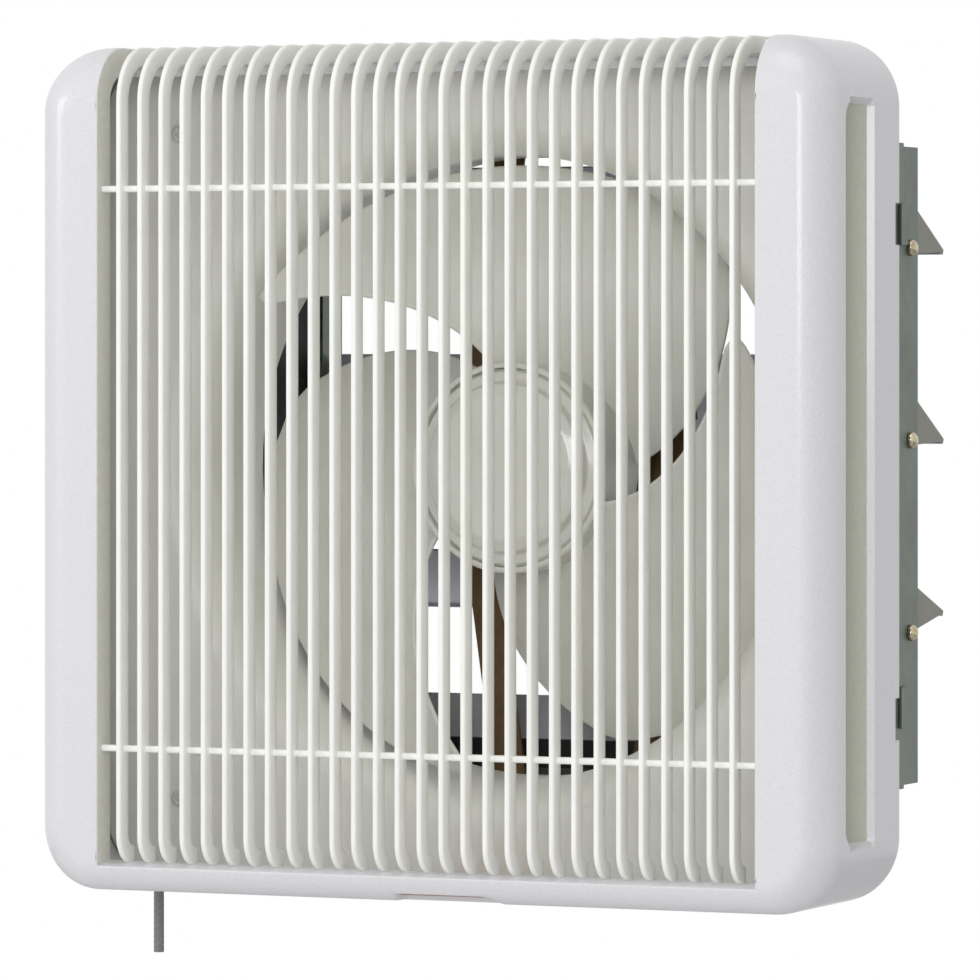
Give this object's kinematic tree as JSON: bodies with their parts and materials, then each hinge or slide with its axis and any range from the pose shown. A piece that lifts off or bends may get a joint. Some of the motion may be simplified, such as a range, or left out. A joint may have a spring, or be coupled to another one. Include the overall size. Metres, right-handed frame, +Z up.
{
  "type": "window exhaust fan",
  "caption": "Square through-wall exhaust fan with a slatted cover, three-bladed impeller, motor, linked rear shutter and pull cord.",
  "frame": {"origin": "centre of the cover's rim, in the plane of the wall that the mounting flange lies on", "axes": "+Z up, +Y into the wall and out through the shutter, +X to the right seen from the room"},
  "size_m": [0.366, 0.2645, 0.392],
  "materials": {
    "cover_plastic": "moulded, fine satin grain, cool light grey-white",
    "ivory_plastic": "moulded, satin, warm ivory-white",
    "blade_plastic": "moulded, satin, pale grey-ivory",
    "spinner_plastic": "moulded, smooth, slightly clear rim",
    "tray_brown": "reddish brown, matt",
    "galvanised": "galvanised sheet, dull grey-green",
    "shutter_paint": "painted sheet, satin grey",
    "motor_paint": "dark brown paint",
    "lamination": "stacked steel sheet",
    "copper_winding": "enamelled copper",
    "bright_steel": "bright zinc-plated steel",
    "pin_gold": "yellow-passivated steel",
    "cord_grey": "braided grey pull cord"
  },
  "bodies": {
    "fan_body": {"cover_shell": "cover_plastic", "grille_slats": "ivory_plastic", "orifice_panel": "ivory_plastic", "oil_tray": "tray_brown", "body_casing": "galvanised", "panel_screw_1": "bright_steel", "panel_screw_2": "bright_steel", "panel_screw_3": "bright_steel", "panel_screw_4": "bright_steel", "motor_stator": "lamination", "stator_coil_front": "copper_winding", "stator_coil_rear": "copper_winding", "motor_shell_front": "motor_paint", "motor_shell_rear": "motor_paint", "bearing_front": "bright_steel", "bearing_rear": "bright_steel", "motor_bracket": "motor_paint", "motor_screw_1": "bright_steel", "motor_screw_2": "bright_steel", "motor_screw_3": "bright_steel", "shutter_frame": "galvanised", "shutter_pin_1_left": "pin_gold", "shutter_pin_1_right": "pin_gold", "shutter_pin_2_left": "pin_gold", "shutter_pin_2_right": "pin_gold", "shutter_pin_3_left": "pin_gold", "shutter_pin_3_right": "pin_gold", "pull_switch_body": "ivory_plastic", "pull_switch_lid": "ivory_plastic", "cord_guide": "ivory_plastic", "terminal_block": "ivory_plastic"},
    "rotor": {"impeller": "blade_plastic", "spinner": "spinner_plastic", "motor_shaft": "bright_steel", "motor_rotor": "lamination"},
    "shutter_1": {"shutter_blade_1": "shutter_paint"},
    "shutter_2": {"shutter_blade_2": "shutter_paint"},
    "shutter_3": {"shutter_blade_3": "shutter_paint"},
    "link": {"link_bar": "galvanised"},
    "pull": {"pull_slider": "ivory_plastic", "pull_cord": "cord_grey"}
  },
  "joints": [
    {"name": "fan_spin", "type": "hinge", "parent": "fan_body", "child": "rotor", "pos_m": [0, 0.03, 0], "axis": [0, 1, 0], "continuous": true},
    {"name": "shutter_1_swing", "type": "hinge", "parent": "fan_body", "child": "shutter_1", "pos_m": [0, 0.128, 0.095], "axis": [-1, 0, 0], "range_deg": [0, 63]},
    {"name": "shutter_2_swing", "type": "hinge", "parent": "fan_body", "child": "shutter_2", "pos_m": [0, 0.128, 0.011], "axis": [-1, 0, 0], "range_deg": [0, 63]},
    {"name": "shutter_3_swing", "type": "hinge", "parent": "fan_body", "child": "shutter_3", "pos_m": [0, 0.128, -0.073], "axis": [-1, 0, 0], "range_deg": [0, 71]},
    {"name": "link_pivot", "type": "hinge", "parent": "shutter_1", "child": "link", "pos_m": [-0.1326, 0.10762, 0.12108], "axis": [-1, 0, 0], "range_deg": [-63, 0]},
    {"name": "cord_pull", "type": "slide", "parent": "fan_body", "child": "pull", "axis": [0, 0, -1], "range_m": [0, 0.01], "stiffness_N_per_m": 150, "springref_m": -0.012}
  ],
  "couplings": [
    {"joint": "shutter_2_swing", "follows": "shutter_1_swing", "ratio": 1},
    {"joint": "shutter_3_swing", "follows": "shutter_1_swing", "ratio": 1.1269},
    {"joint": "link_pivot", "follows": "shutter_1_swing", "ratio": -1}
  ]
}
